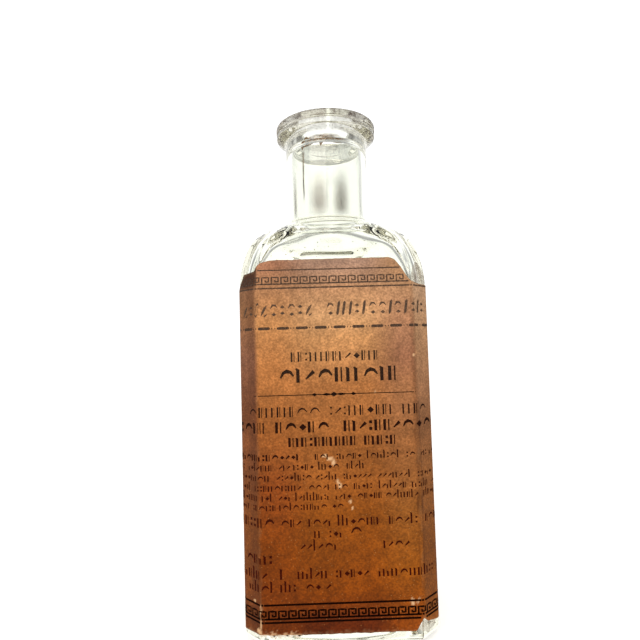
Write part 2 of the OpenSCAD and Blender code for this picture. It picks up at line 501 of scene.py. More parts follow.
# worn is 1 where the face is gone; the crease mark is 1 where shade is painted in a crease or along a fold;
# the flap mark is 1 on the lifted corner, painted dark as its shade
def labelWear(places):
    worn, folded, flap = [], [], []
    for distance, z in places:
        ragged = 0.9 * wobble(distance, z, 0, 0.6, 2.2)
        bare = 0.0
        for middle, height, halfWidth, halfHeight in label["chips"]:
            reach = math.hypot((distance - middle) / halfWidth, (z - height) / halfHeight) + ragged
            bare = max(bare, 1 - smoothStep(0.75, 1.2, reach))
        topGap = onLine(label["top"], distance) - z
        footGap = z - onLine(label["bottom"], distance)
        torn = 0.8 if z < 10 and -18.5 < distance < -9 else 0.12
        bare = max(bare, torn * (1 - smoothStep(0.1, 0.5, min(topGap, footGap) + ragged)))
        nearFold = abs(abs(distance) - label["fold"])
        crack = 1 - smoothStep(0.02, 0.26, abs(distance + label["fold"] + 0.7 * wobble(z, 0, 0, 1.6, 1.1)))
        bare = max(bare, crack * (1 - smoothStep(8.4, 9.6, z)))
        # paler flecks within half a millimetre of both folds: partly rubbed paper, partly a painted glint
        # where the folds catch light
        fleckNoise = max(0.0, wobble(distance * 3, z, 0, 2.4, 6.6)) * (1 - smoothStep(0.1, 0.5, nearFold))
        worn.append(min(1.0, bare + 0.14 * fleckNoise))
        # painted shade: a dark band just past the left fold, dark lines along the right fold and a broad
        # shadow beside it
        crease = 0.0
        if distance < 0:
            crease = 0.4 * smoothStep(17.2, 18.2, -distance) * (1 - smoothStep(19.2, 21.5, -distance))
        if distance > 0:
            wander = 0.3 * wobble(z, 0, 0, 6, 3.3)
            lines = [
                abs(distance - label["fold"] - 0.55 - wander), abs(distance - label["fold"] + 0.5 - wander),
            ]
            length = smoothStep(12, 18, z) * (1 - smoothStep(50, 56, z))
            strength = 0.45 + 0.55 * wobble(z, 1, 0, 4, 8.1)
            crease = (1 - smoothStep(0.05, 0.42, min(lines))) * length * strength
            shade = smoothStep(24, 38, z) * (1 - smoothStep(68, 78, z))
            turned = 1 - smoothStep(0.15, 0.95, abs(distance - label["fold"] + 0.15))
            crease = max(crease, 0.42 * shade * turned)
        folded.append(max(0.0, min(1.0, crease)))
        # the lifted corner is painted dark as its shade
        flap.append(smoothStep(77.4, 78.4, z) * (1 - smoothStep(-17.4, -16.9, distance)))
    return worn, folded, flap


# Machine-printed rag paper, varnished and stained by a century of tincture: it darkens toward the foot,
# partly as the stain and partly as painted light that makes the upper part paler; the left bevel is painted
# darker as shade and the right bevel paler as lit, and the creases and the lifted flap carry painted shade;
# the fibres break it into fine flecks, and torn places show the pale core.
def labelPaperStainsAndPaintedLight():
    material = newMaterial("RagPaperStainedWithPaintedLightAndShade")
    chart = addNode(material, "ShaderNodeUVMap", {"uv_map": "sheetMap"})
    place = addNode(material, "ShaderNodeSeparateXYZ", {}, {0: chart})
    across, up = place.outputs["X"], place.outputs["Y"]
    solid = addNode(material, "ShaderNodeTexCoord").outputs["Object"]

    # stain colours up the height, read at five places across: the tincture stain together with painted light
    # that makes the upper part paler, the left bevel painted darker as shade and the right bevel paler as lit
    stainsAndPaintedLight = {
        "leftBevel": [
            (0.05, "#6a3510"), (0.25, "#7a4318"), (0.38, "#764424"), (0.5, "#744428"),
            (0.62, "#815640"), (0.72, "#8a6040"), (0.82, "#7c5a45"),
        ],
        "left": [
            (0.05, "#6d3006"), (0.2, "#7e3c06"), (0.34, "#824014"), (0.47, "#995b2a"),
            (0.6, "#b0723f"), (0.7, "#b88150"), (0.79, "#a87956"), (0.83, "#a27156"),
        ],
        "middle": [
            (0.05, "#5d2405"), (0.12, "#823f05"), (0.28, "#8a4a10"), (0.42, "#9b5d2a"),
            (0.56, "#a66b3b"), (0.66, "#c68f5c"), (0.71, "#c59568"), (0.77, "#b2845f"),
            (0.83, "#a4826e"),
        ],
        "right": [
            (0.05, "#8b430a"), (0.16, "#93500f"), (0.28, "#8a521f"), (0.42, "#945e34"),
            (0.55, "#9c6944"), (0.62, "#956549"), (0.7, "#a77858"), (0.78, "#b78a65"),
        ],
        "rightBevel": [
            (0.05, "#8b4c14"), (0.2, "#7c4512"), (0.36, "#885428"), (0.47, "#865836"),
            (0.55, "#9a6c4a"), (0.68, "#ac825e"), (0.79, "#be9878"),
        ],
    }
    order = ["leftBevel", "left", "middle", "right", "rightBevel"]
    turns = [(0.318, 0.331), (0.36, 0.46), (0.56, 0.65), (0.671, 0.682)]
    colour = addNode(material, "ShaderNodeValToRGB", {"stops": stainsAndPaintedLight[order[0]]}, {0: up})
    for name, (start, end) in zip(order[1:], turns):
        share = addNode(material, "ShaderNodeMapRange", {
            "interpolation_type": "SMOOTHSTEP", "From Min": start, "From Max": end,
        }, {"Value": across})
        nextStainAndLight = addNode(material, "ShaderNodeValToRGB", {"stops": stainsAndPaintedLight[name]}, {0: up})
        colour = addNode(material, "ShaderNodeMix", {"data_type": "RGBA"}, {
            "Factor": share, "A": colour, "B": nextStainAndLight,
        })

    # clouds, tide marks and fibre flecks
    grain = addNode(material, "ShaderNodeMapping", {"Scale": (1.0, 1.0, 1.1)}, {0: solid})
    patterns = [
        # size mm, detail, dark end, pale end, contrast window
        (9.0, 3.0, 0.84, 1.14, 0.34, 0.68),
        (2.2, 4.0, 0.88, 1.12, 0.36, 0.66),
        (0.42, 3.0, 0.76, 1.3, 0.36, 0.68),
    ]
    for size, detail, dark, pale, start, end in patterns:
        cloud = addNode(
            material, "ShaderNodeTexNoise", {"Scale": 1 / (size * mm), "Detail": detail}, {"Vector": grain},
        )
        level = addNode(material, "ShaderNodeMapRange", {
            "From Min": start, "From Max": end, "To Min": dark, "To Max": pale,
        }, {"Value": cloud.outputs[0]})
        colour = addNode(material, "ShaderNodeMix", {
            "data_type": "RGBA", "blend_type": "MULTIPLY", "Factor": 1.0,
        }, {"A": colour, "B": level})
    flecks = addNode(material, "ShaderNodeTexVoronoi", {"Scale": 1 / (0.9 * mm)}, {"Vector": grain})
    fleck = addNode(
        material, "ShaderNodeValToRGB", {"stops": [(0.0, 0.45), (0.16, 0.0)]},
        {0: flecks.outputs["Distance"]},
    )
    colour = addNode(
        material, "ShaderNodeMix", {"data_type": "RGBA", "B": "#e0a765"}, {"Factor": fleck, "A": colour},
    )

    # painted shade on the lifted flap, painted shade in the creases and along the folds, then bare pale fibre
    for name, shade, strength in (
        ("flap", "#33211a", 0.85), ("folded", "#43200e", 0.8), ("worn", "#e3b98c", 0.85),
    ):
        mark = addNode(material, "ShaderNodeAttribute", {"attribute_name": name})
        amount = addNode(
            material, "ShaderNodeMath", {"operation": "MULTIPLY", 1: strength}, {0: mark.outputs["Fac"]},
        )
        colour = addNode(
            material, "ShaderNodeMix", {"data_type": "RGBA", "B": shade}, {"Factor": amount, "A": colour},
        )

    fibre = addNode(
        material, "ShaderNodeTexNoise", {"Scale": 1 / (0.3 * mm), "Detail": 4.0}, {"Vector": grain},
    )
    bump = addNode(
        material, "ShaderNodeBump", {"Strength": 0.5, "Distance": 0.05 * mm}, {"Height": fibre.outputs[0]},
    )
    shader = addNode(material, "ShaderNodeBsdfPrincipled", {
        "Roughness": 0.62, "IOR": 1.46, "Specular IOR Level": 0.1,
    }, {"Base Color": colour, "Normal": bump})
    addNode(material, "ShaderNodeOutputMaterial", {}, {"Surface": shader})
    return material


labelPaper, labelPlaces = newPatch("labelPaper", label, labelPaperStainsAndPaintedLight())
for markName, marks in zip(("worn", "folded", "flap"), labelWear(labelPlaces)):
    addAttribute(labelPaper, markName, marks + marks)
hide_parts("label_paper")
print("label pasted on:", len(labelPlaces), "points a face")

# Print: rules, key borders and plain marks in lines, never letters

ink = {
    "low": 0.1,              # lift of the two faces of the ink off the glass, mm
    "high": 0.128,
    "reach": 29.4,           # where the borders stop
    "seed": 41,
}
random.seed(ink["seed"])
inkPoints, inkFaces = [], []


def onPaper(distance, z):
    return onLine(label["bottom"], distance) + 0.25 < z < onLine(label["top"], distance) - 0.25


# A stroke of ink along a line of (distance, height) corners; the widths are at the corners
def stroke(corners, width):
    widths = width if isinstance(width, list) else [width] * len(corners)
    line = [(*corners[0], widths[0])]
    for (start, end), (first, last) in zip(zip(corners, corners[1:]), zip(widths, widths[1:])):
        parts = max(1, math.ceil(abs(end[0] - start[0]) / 0.6))
        for i in range(1, parts + 1):
            share = i / parts
            line.append((
                start[0] + (end[0] - start[0]) * share, start[1] + (end[1] - start[1]) * share,
                first + (last - first) * share,
            ))
    run = []
    for point in line + [(0, -1, 0)]:      # the last point is off the paper, so that it ends the last run
        if onPaper(point[0], point[1]):
            run.append(point)
            continue
        if len(run) > 1:
            inkRun(run)
        run = []


# One unbroken slab of ink, four corners to each point of its line
def inkRun(line):
    base = len(inkPoints)
    for index, (distance, z, breadth) in enumerate(line):
        before, after = line[max(0, index - 1)], line[min(len(line) - 1, index + 1)]
        alongX, alongZ = after[0] - before[0], after[1] - before[1]
        length = math.hypot(alongX, alongZ) or 1.0
        outX, outZ = -alongZ / length * breadth / 2, alongX / length * breadth / 2
        for side, lift in ((1, ink["high"]), (-1, ink["high"]), (-1, ink["low"]), (1, ink["low"])):
            inkPoints.append(onGlass(distance + side * outX, z + side * outZ, lift))
    for index in range(len(line) - 1):
        a, b = base + 4 * index, base + 4 * index + 4
        inkFaces.extend([(a + k, a + (k + 1) % 4, b + (k + 1) % 4, b + k) for k in range(4)])
    inkFaces.append((base, base + 1, base + 2, base + 3))
    last = len(inkPoints) - 4
    inkFaces.append((last + 3, last + 2, last + 1, last))


# One plain mark in a line of print: a bar, a dot, a lozenge, a crescent or a slanting dash
def printMark(start, foot, height, weight):
    kind = random.choice(("bar", "bar", "tall", "hung", "slant", "lozenge", "crescent", "pair", "dots"))
    if height > 1.9 and kind in ("tall", "hung"):
        kind = "pair"
    thin = weight * 0.45
    if kind in ("bar", "tall", "hung"):
        top = foot + height * {"bar": 1.0, "tall": 1.45, "hung": 0.7}[kind]
        stroke(
            [(start - 0.6 * weight, top - 0.1), (start, top - 0.5 * weight), (start, foot)],
            [thin, weight, weight],
        )
        return 0.55 * height
    if kind == "slant":
        stroke(
            [(start, foot + 0.25 * height), (start + 0.55 * height, foot + 0.75 * height)],
            [thin, 1.2 * weight],
        )
        return 0.85 * height
    if kind == "lozenge":
        line = [(start + share * height, foot + 0.5 * height) for share in (0, 0.33, 0.66)]
        stroke(line, [0.05, 0.62 * height, 0.05])
        return 0.9 * height
    if kind == "crescent":
        turns = [math.radians(a) for a in (30, 65, 95, 125, 160)]
        middle = start + 0.52 * height
        bow = [
            (middle + 0.5 * height * math.cos(t), foot + height * (0.1 + 0.7 * math.sin(t)))
            for t in turns
        ]
        stroke(bow, [thin, 0.9 * weight, 1.2 * weight, 0.9 * weight, thin])
        return 1.25 * height
    if kind == "pair":
        stroke([(start, foot), (start, foot + height)], weight)
        stroke([(start + 1.5 * weight, foot), (start + 1.5 * weight, foot + height)], thin)
        return 0.45 * height + 1.5 * weight
    for level in (0.2, 0.8):
        stroke([(start, foot + level * height), (start + 1.1 * weight, foot + level * height)], 1.1 * weight)
    return 0.35 * height + weight


def printWord(start, end, foot, height, weight):
    place = start + weight / 2
    while place < end - 0.3 * height:
        place += printMark(place, foot, height, weight)


def printLine(start, end, foot, height, weight):
    place = start
    while place < end - height:
        wordEnd = min(end, place + height * random.uniform(1.8, 6.5))
        printWord(place, wordEnd, foot, height, weight)
        place = wordEnd + 0.75 * height


# A plain Greek key: one spiral after another, standing on a line
def keyBorder(foot, height, pitch, weight):
    stroke([(-ink["reach"], foot), (ink["reach"], foot)], weight)
    count = int(2 * ink["reach"] / pitch)
    for index in range(count):
        start = -ink["reach"] + pitch * (index + 0.25)
        key = ((0, 0), (0, 1), (0.7, 1), (0.7, 0.36), (0.36, 0.36), (0.36, 0.62))
        stroke([(start + pitch * x, foot + height * z) for x, z in key], weight)


def printLabel():
    reach = ink["reach"]
    for z, weight in ((81.65, 0.26), (77.55, 0.34), (9.1, 0.42), (5.45, 0.42)):
        stroke([(-reach, z), (reach, z)], weight)
    keyBorder(78.5, 1.5, 2.15, 0.33)
    keyBorder(6.2, 1.6, 2.15, 0.4)

    # the heading: leaning bars, lozenges, cuts and caps, in two groups
    for start, end in ((-21.4, -4.6), (-1.6, 21.7)):
        place = start
        while place < end - 0.9:
            kind = random.choice(("bar", "bar", "lozenges", "cut", "cap"))
            if kind == "bar":
                stroke(
                    [(place, 71.2), (place + 0.12, 71.6), (place + 0.5, 74.0), (place + 0.62, 74.4)],
                    [0.1, 0.55, 0.55, 0.1],
                )
                place += random.choice((1.25, 1.5))
            elif kind == "lozenges":
                for z, size in ((71.9, 0.75), (73.3, 0.75)):
                    stroke([(place, z), (place + 0.5, z + 0.1), (place + 1.0, z)], [0.06, size, 0.06])
                place += 1.75
            elif kind == "cut":
                stroke(
                    [(place, 71.4), (place + 0.35, 72.2), (place + 0.9, 73.2), (place + 1.3, 73.7)],
                    [0.08, 0.5, 0.5, 0.08],
                )
                stroke([(place + 0.7, 71.3), (place + 1.4, 71.9)], [0.4, 0.06])
                place += 2.1
            else:
                stroke(
                    [(place, 73.0), (place + 0.5, 73.8), (place + 1.1, 73.75), (place + 1.5, 73.2)],
                    [0.1, 0.5, 0.4, 0.1],
                )
                stroke([(place + 0.3, 71.7), (place + 0.8, 71.7), (place + 1.3, 71.7)], [0.06, 0.8, 0.06])
                place += 2.2

    # dash and bead line under the heading
    for index in range(-7, 7):
        middle = 1.1 + 4.2 * index
        stroke([(middle - 1.35, 68.6), (middle - 1.1, 68.6), (middle + 1.1, 68.6), (middle + 1.35, 68.6)],
               [0.25, 0.62, 0.62, 0.25])
        for side in (-1.75, 1.75):
            stroke([(middle + side - 0.1, 68.6), (middle + side + 0.1, 68.6)], 0.3)

    # swelled rule with a spindle and beads
    stroke([(-18.4, 53.8), (17.5, 53.8)], 0.19)
    for middle, size, swell in (
        (-4.9, 0.55, 0.75), (-2.2, 1.1, 0.6), (-0.6, 0.75, 1.05), (1.0, 1.1, 0.6), (3.7, 0.55, 0.75),
    ):
        stroke([(middle - size, 53.8), (middle, 53.8), (middle + size, 53.8)], [0.1, swell, 0.1])

    # words: start, end, foot, height, weight
    words = [
        (-9.9, 9.8, 61.1, 2.15, 0.36), (-12.8, 13.2, 56.5, 3.2, 0.74),
        (-20.1, -3.5, 49.05, 2.25, 0.34), (-1.7, 12.8, 49.05, 2.25, 0.34), (14.4, 19.4, 49.05, 2.25, 0.34),
        (-24.6, -15.4, 45.6, 2.4, 0.6), (-13.7, -0.6, 45.6, 2.4, 0.6), (1.3, 18.4, 45.6, 2.4, 0.6),
        (19.6, 24.4, 45.6, 2.4, 0.6), (-10.9, 4.1, 42.55, 2.0, 0.52), (5.7, 12.3, 42.55, 2.0, 0.52),
        (-25.4, -7.9, 39.65, 1.4, 0.4), (-25.6, -15.2, 25.4, 2.0, 0.5), (-5.8, -4.2, 22.9, 1.6, 0.34),
        (-2.6, 0.4, 22.9, 1.6, 0.34), (2.0, 4.2, 22.9, 2.4, 0.42), (-8.9, -0.6, 20.3, 1.7, 0.36),
        (9.2, 14.6, 20.3, 1.7, 0.38), (-21.9, -14.7, 17.7, 1.9, 0.5), (-25.4, -16.4, 14.4, 1.8, 0.46),
        (-13.4, -11.4, 14.4, 2.3, 0.46),
    ]
    for word in words:
        printWord(*word)
    # running lines: start, end, foot, height, weight
    lines = [
        (-5.2, 26.2, 39.65, 1.25, 0.29), (-25.8, 6.3, 37.5, 1.25, 0.29), (-25.8, 26.0, 35.3, 1.25, 0.29),
        (-25.8, 26.4, 33.1, 1.25, 0.29), (-25.8, 25.6, 31.0, 1.25, 0.29), (-25.8, 0.9, 28.95, 1.25, 0.29),
        (-13.0, 26.2, 25.4, 1.65, 0.36), (-9.6, 25.8, 14.4, 1.65, 0.38), (-25.8, -1.7, 11.75, 1.65, 0.38),
    ]
    for line in lines:
        printLine(*line)


# Iron-black letterpress ink sunk into the varnish: brown-black, rubbed thin on the high fibres
def oldPrintersInk():
    material = newMaterial("LetterpressInkRubbed")
    solid = addNode(material, "ShaderNodeTexCoord").outputs["Object"]
    height = addNode(material, "ShaderNodeSeparateXYZ", {}, {0: solid}).outputs["Z"]
    share = addNode(material, "ShaderNodeMapRange", {"From Max": 0.1}, {"Value": height})
    colour = addNode(material, "ShaderNodeValToRGB", {
        "stops": [(0.09, "#140401"), (0.12, "#3f0f05"), (0.3, "#3b1208"), (0.48, "#24110a"),
                  (0.62, "#2e221b"),
                  (0.72, "#55453a"), (0.82, "#4e4038")],
    }, {0: share})
    fleckNoise = addNode(material, "ShaderNodeTexNoise", {"Scale": 1 / (0.7 * mm), "Detail": 4.0}, {"Vector": solid})
    thinnest = addNode(material, "ShaderNodeMapRange", {
        "From Min": 0.5, "From Max": 0.8, "To Min": 0.88, "To Max": 0.5,
    }, {"Value": share})
    cover = addNode(material, "ShaderNodeMapRange", {
        "From Min": 0.36, "From Max": 0.64, "To Min": 1.0,
    }, {"Value": fleckNoise.outputs[0], "To Max": thinnest})
    shader = addNode(material, "ShaderNodeBsdfPrincipled", {
        "Roughness": 0.8, "IOR": 1.5, "Specular IOR Level": 0.02,
    }, {"Base Color": colour, "Alpha": cover})
    addNode(material, "ShaderNodeOutputMaterial", {}, {"Surface": shader})
    return material


printLabel()
newPiece("labelPrint", inkPoints, inkFaces, oldPrintersInk(), smooth=False)
print("label printed:", len(inkFaces), "faces of ink")

# Paste, flakes, cork, residue and grime


# A thin stain that lets the glass show through: cover is how solid it is where it is thickest
def stainFilm(name, dark, pale, cover, size, roughness=0.5, patchy=0.15):
    material = newMaterial(name)
    solid = addNode(material, "ShaderNodeTexCoord").outputs["Object"]
    cloud = addNode(
        material, "ShaderNodeTexNoise", {"Scale": 1 / (size * mm), "Detail": 5.0}, {"Vector": solid},
    )
    colour = addNode(
        material, "ShaderNodeValToRGB", {"stops": [(0.35, dark), (0.65, pale)]}, {0: cloud.outputs[0]},
    )
    alpha = addNode(material, "ShaderNodeMapRange", {
        "From Min": 0.3, "From Max": 0.62, "To Min": cover, "To Max": patchy * cover,
    }, {"Value": cloud.outputs[0]})
    shader = addNode(material, "ShaderNodeBsdfPrincipled", {"Roughness": roughness, "IOR": 1.45}, {
        "Base Color": colour, "Alpha": alpha,
    })
    addNode(material, "ShaderNodeOutputMaterial", {}, {"Surface": shader})
    return material


paste = {
    "sheets": [
        {"span": (17.3, 22.6), "bottom": [(17.3, 77.3), (22.6, 77.2)],
         "top": [(17.3, 79.2), (18.2, 81.6), (19.6, 83.2), (20.8, 82.9), (22.6, 80.4)]},
        {"span": (16.4, 21.6), "bottom": [(16.4, 2.6), (19, 2.2), (21.6, 2.9)],
         "top": [(16.4, 3.6), (17.5, 5.6), (18.8, 4.9), (20, 5.4), (21.6, 4.2)]},
    ],
    "shared": {"cell": 0.3, "inner": 0.006, "outer": 0.018, "tear": 0.5},
}
# flour paste dried to a skin: warm grey, cracked and patchy
driedPaste = stainFilm("FlourPasteDriedSkin", "#9a8a78", "#cfc6b6", 0.52, 2.2, 0.7, 0.6)
for index, sheet in enumerate(paste["sheets"]):
    piece, _ = newPatch("labelPaste" + "AB"[index], {**sheet, **paste["shared"]}, driedPaste)
    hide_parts("label_paste")

flakes = {
    "shared": {"cell": 0.14, "inner": 0.02, "outer": 0.09, "tear": 0.3},
    "seed": 12,
}
random.seed(flakes["seed"])


# torn paper core left on the glass: matt, off-white, fuzzy
def tornFibre():
    material = newMaterial("RagPaperTornCore")
    solid = addNode(material, "ShaderNodeTexCoord").outputs["Object"]
    fuzz = addNode(
        material, "ShaderNodeTexNoise", {"Scale": 1 / (0.4 * mm), "Detail": 4.0}, {"Vector": solid},
    )
    colour = addNode(
        material, "ShaderNodeValToRGB", {"stops": [(0.3, "#c9bba2"), (0.65, "#f6f1e6")]},
        {0: fuzz.outputs[0]},
    )
    bump = addNode(
        material, "ShaderNodeBump", {"Strength": 0.7, "Distance": 0.08 * mm}, {"Height": fuzz.outputs[0]},
    )
    shader = addNode(
        material, "ShaderNodeBsdfPrincipled", {"Roughness": 0.9}, {"Base Color": colour, "Normal": bump},
    )
    addNode(material, "ShaderNodeOutputMaterial", {}, {"Surface": shader})
    return material


fibre = tornFibre()
for index in range(9):
    middle = -17.6 + 1.05 * index + random.uniform(-0.3, 0.3)
    half = random.uniform(0.35, 0.85)
    foot = random.uniform(1.95, 2.5)
    top = random.uniform(2.9, 3.4)
    sheet = {
        "span": (middle - half, middle + half),
        "bottom": [(middle - half, top - 0.3), (middle, foot), (middle + half, top - 0.4)],
        "top": [(middle - half, top - 0.1), (middle + half, top)],
    }
    piece, _ = newPatch("labelFlake%d" % (index + 1), {**sheet, **flakes["shared"]}, fibre)
    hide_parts("label_flakes")

# what is stuck inside the neck: on the bore's wall, and on the narrower cork seat above it
residue = {
    "streaks": [             # middle in degrees from the front, half width, foot, top
        (-14.5, 21, 95.0, 111.4), (19.5, 19, 95.0, 110.8), (-60.5, 7, 95.6, 111.0), (61.5, 7, 95.6, 112.0),
    ],
    "run": [                 # the dried run: degrees, height, half width
        (-39, 115.2, 4.5), (-39.5, 113, 3.2), (-40, 110, 2.2), (-40.6, 106, 1.8), (-40, 103, 2.0),
        (-40.8, 100.5, 0.8),
    ],
    "ledge": (-6, 46),
    "gap": 0.03,
}


# A thin closed sheet inside the bore: each corner is (middle in degrees, height, half width in degrees).
# It fades toward both sides, and over a share of its height at the foot and at the top.
def boreSheet(name, corners, material, steps=14, endFade=(0.25, 0.25)):
    points, fade = [], []
    for depth in (residue["gap"], 2 * residue["gap"]):
        for middle, z, half in corners:
            for i in range(steps + 1):
                share = 2 * i / steps - 1
                angle = math.radians(middle + half * share)
                reach = throatRadius(z) - depth
                points.append((reach * math.sin(angle), -reach * math.cos(angle), z))
    rows, width = len(corners), steps + 1
    size = rows * width
    low, high = min(z for _, z, _ in corners), max(z for _, z, _ in corners)
    for _, z, _ in corners:
        along = smoothStep(0, endFade[0], (z - low) / (high - low)) * smoothStep(
            0, endFade[1], (high - z) / (high - low),
        )
        for i in range(width):
            fade.append(smoothStep(0, 1, 1 - abs(2 * i / steps - 1)) * along)
    faces = []
    for row in range(rows - 1):
        for i in range(steps):
            a = row * width + i
            faces.append((a, a + 1, a + width + 1, a + width))
            faces.append((size + a, size + a + width, size + a + width + 1, size + a + 1))
    rim = list(range(steps)) + [row * width + steps for row in range(rows - 1)]
    rim += [
        (rows - 1) * width + c
        for c in range(steps, 0, -1)
    ] + [row * width for row in range(rows - 1, 0, -1)]
    faces += [(a, size + a, size + b, b) for a, b in zip(rim, rim[1:] + rim[:1])]
    piece = newPiece(name, points, faces, material)
    addAttribute(piece, "fade", fade + fade)
    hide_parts("tincture_residue")
    return piece


def throatRadius(z):
    return min(form["throat"], form["seat"] + max(0.0, form["seatFoot"] - z))


# multiplies a film's cover by the sheet's own fade, so that it thins out to nothing
def fadeFilm(material):
    shader = next(n for n in material.node_tree.nodes if n.type == "BSDF_PRINCIPLED")
    cover = shader.inputs["Alpha"].links[0].from_socket
    fade = addNode(material, "ShaderNodeAttribute", {"attribute_name": "fade"}).outputs["Fac"]
    thin = addNode(material, "ShaderNodeMath", {"operation": "MULTIPLY"}, {0: cover, 1: fade})
    material.node_tree.links.new(thin.outputs[0], shader.inputs["Alpha"])
    return material


haze = fadeFilm(stainFilm("TinctureHazeDriedThin", "#857a6c", "#ada393", 0.6, 6.0, patchy=0.85))
for index, (middle, half, foot, top) in enumerate(residue["streaks"]):
    rows = [(middle, foot + (top - foot) * i / 20, half) for i in range(21)]
    boreSheet("tinctureHaze%d" % (index + 1), rows, haze, endFade=(0.3, 0.65))
runFilm = stainFilm("TinctureRunDriedResin", "#6a5138", "#a88d68", 1.0, 2.5, 0.3, 0.7)
boreSheet("tinctureRun", residue["run"], fadeFilm(runFilm), 8)
ledgeFilm = fadeFilm(stainFilm("TinctureResinOnTheSeat", "#7d4f12", "#d6a95a", 1.0, 1.1, 0.25, 0.3))
ledgeMiddle, ledgeHalf = residue["ledge"]
boreSheet("tinctureLedge", [(ledgeMiddle, 116.0 + 0.35 * i, ledgeHalf) for i in range(9)], ledgeFilm, 60)

crumbs = {
    # degrees from the front, height, half sizes along the wall, up and inward
    "lumps": [(-45, 116.9, 0.7, 1.75, 0.7), (-40, 117.7, 1.1, 0.6, 0.6), (-10, 115.9, 0.5, 1.0, 0.5),
              (20, 116.9, 1.0, 0.5, 0.5), (30, 117.3, 0.9, 0.45, 0.5)],
}


# old cork: warm brown with dark pores, crumbly
def crumbledCork():
    material = newMaterial("CorkOldAndCrumbled")
    solid = addNode(material, "ShaderNodeTexCoord").outputs["Object"]
    grain = addNode(
        material, "ShaderNodeTexNoise", {"Scale": 1 / (0.6 * mm), "Detail": 5.0}, {"Vector": solid},
    )
    pores = addNode(material, "ShaderNodeTexVoronoi", {"Scale": 1 / (0.35 * mm)}, {"Vector": solid})
    colour = addNode(material, "ShaderNodeValToRGB", {
        "stops": [(0.3, "#4b2d18"), (0.5, "#94683c"), (0.7, "#c79a5e")],
    }, {0: grain.outputs[0]})
    bump = addNode(
        material, "ShaderNodeBump", {"Strength": 0.8, "Distance": 0.1 * mm},
        {"Height": pores.outputs["Distance"]},
    )
    shader = addNode(
        material, "ShaderNodeBsdfPrincipled", {"Roughness": 0.85}, {"Base Color": colour, "Normal": bump},
    )
    addNode(material, "ShaderNodeOutputMaterial", {}, {"Surface": shader})
    return material


# A rough lump from a divided sphere, pointed toward its foot, its back flat on the wall
def makeLump(name, middle, height, across, up, inward, material):
    build = bmesh.new()
    bmesh.ops.create_icosphere(build, subdivisions=4, radius=1.0)
    points = []
    for vertex in build.verts:
        x, y, z = vertex.co
        rough = 1 + 0.34 * wobble(x, y, z, 0.8, middle) + 0.2 * wobble(x, y, z, 0.3, height)
        taper = 0.55 + 0.45 * smoothStep(-1, 0.6, z)
        points.append((x * across * rough * taper, y * inward * rough * taper, z * up * rough))
    faces = [tuple(v.index for v in f.verts) for f in build.faces]
    build.free()
    turn = math.radians(middle)
    placed = []
    for x, y, z in points:
        wall = throatRadius(height + z) - 0.05
        reach = min(wall, wall - 0.6 * inward - y)
        angle = turn + x / wall
        placed.append((reach * math.sin(angle), -reach * math.cos(angle), height + z))
    piece = newPiece(name, placed, faces, material)
    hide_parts("cork_crumbs")


oldCork = crumbledCork()
for index, lump in enumerate(crumbs["lumps"]):
    makeLump("corkCrumb%d" % (index + 1), *lump, oldCork)

grime = {
    "seed": 7,
    "shoulder": 46,          # how many specks
    "lip": 60,
}
random.seed(grime["seed"])
speckPoints, speckFaces = [], []


# one flat speck: a low six-sided crumb on a spot with its two directions along the glass
def addSpeck(spot, along, up, out, size):
    base = len(speckPoints)
    count = 6
    for lift, scale in ((-0.01, 1.0), (0.025, 0.7)):
        for i in range(count):
            angle = 2 * math.pi * i / count
            reach = size * scale * random.uniform(0.6, 1.2)
            speckPoints.append(tuple(
                s + reach * (a * math.cos(angle) + u * math.sin(angle)) + o * lift
                for s, a, u, o in zip(spot, along, up, out)
            ))
    speckFaces.append(tuple(range(base + count - 1, base - 1, -1)))
    speckFaces.append(tuple(range(base + count, base + 2 * count)))
    for i in range(count):
        j = (i + 1) % count
        speckFaces.append((base + i, base + j, base + count + j, base + count + i))


for _ in range(grime["shoulder"]):
    distance, z = random.gauss(-5.5, 4.5), random.uniform(84.6, 89.0)
    if random.random() < 0.3:
        distance = random.uniform(-15, 15)
    x, y, z = onGlass(distance, z, 0.0)
    rise = (z - form["sideTop"]) / form["rise"]
    lean = math.atan((form["half"] - form["neck"]) / form["rise"] * rise / math.sqrt(1 - rise * rise))
    addSpeck((x, y + 0.03, z), (1, 0, 0), (0, math.sin(lean), math.cos(lean)),
             (0, -math.cos(lean), math.sin(lean)), random.uniform(0.05, 0.15))
for _ in range(grime["lip"]):
    angle = math.radians(random.gauss(12, 34))
    share = random.random()
    reach = form["neck"] + 0.5 + share * (form["lip"] - form["neck"] - 1.4)
    z = form["taperFoot"] + 0.25 + share * 1.1
    outward = (math.sin(angle), -math.cos(angle), 0)
    addSpeck((reach * outward[0], reach * outward[1], z), (math.cos(angle), math.sin(angle), 0),
             (0.7 * outward[0], 0.7 * outward[1], 0.7), (0.7 * outward[0], 0.7 * outward[1], -0.7),
             random.uniform(0.05, 0.13))


# soot and dust gone hard: dark, dull, a little brown
def hardGrime():
    material = newMaterial("DustAndSootHardened")
    solid = addNode(material, "ShaderNodeTexCoord").outputs["Object"]
    cloud = addNode(
        material, "ShaderNodeTexNoise", {"Scale": 1 / (1.5 * mm), "Detail": 2.0}, {"Vector": solid},
    )
    colour = addNode(
        material, "ShaderNodeValToRGB", {"stops": [(0.35, "#4a3f33"), (0.65, "#97876f")]},
        {0: cloud.outputs[0]},
    )
    shader = addNode(material, "ShaderNodeBsdfPrincipled", {"Roughness": 0.85}, {"Base Color": colour})
    addNode(material, "ShaderNodeOutputMaterial", {}, {"Surface": shader})
    return material


newPiece("grimeSpecks", speckPoints, speckFaces, hardGrime(), smooth=False)

